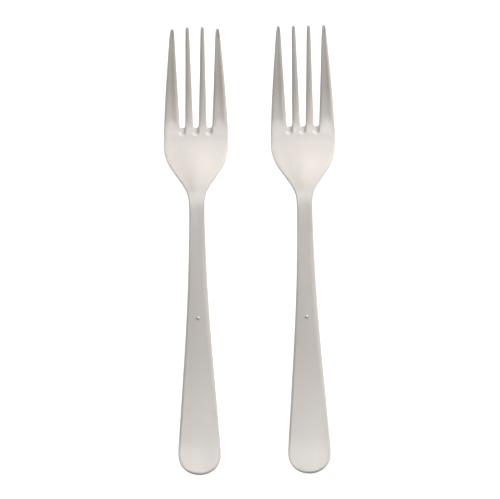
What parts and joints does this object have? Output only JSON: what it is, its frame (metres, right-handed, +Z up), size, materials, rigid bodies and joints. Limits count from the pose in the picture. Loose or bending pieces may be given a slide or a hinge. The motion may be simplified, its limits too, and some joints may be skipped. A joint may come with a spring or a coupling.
{
  "type": "pair of plastic forks",
  "caption": "Matching one-piece moulded plastic forks with slender tapered tines, lying face up side by side, for eating and food service.",
  "frame": {"origin": "on the table, under the middle of the pair's bounding box", "axes": "+Y runs from the handle ends to the tine tips, +X to the right with the forks face up, +Z up"},
  "size_m": [0.0689, 0.1809, 0.0109],
  "materials": {
    "plastic": "matte, warm off-white moulded plastic"
  },
  "bodies": {
    "root": {"left_fork": "plastic", "right_fork": "plastic"}
  },
  "joints": []
}
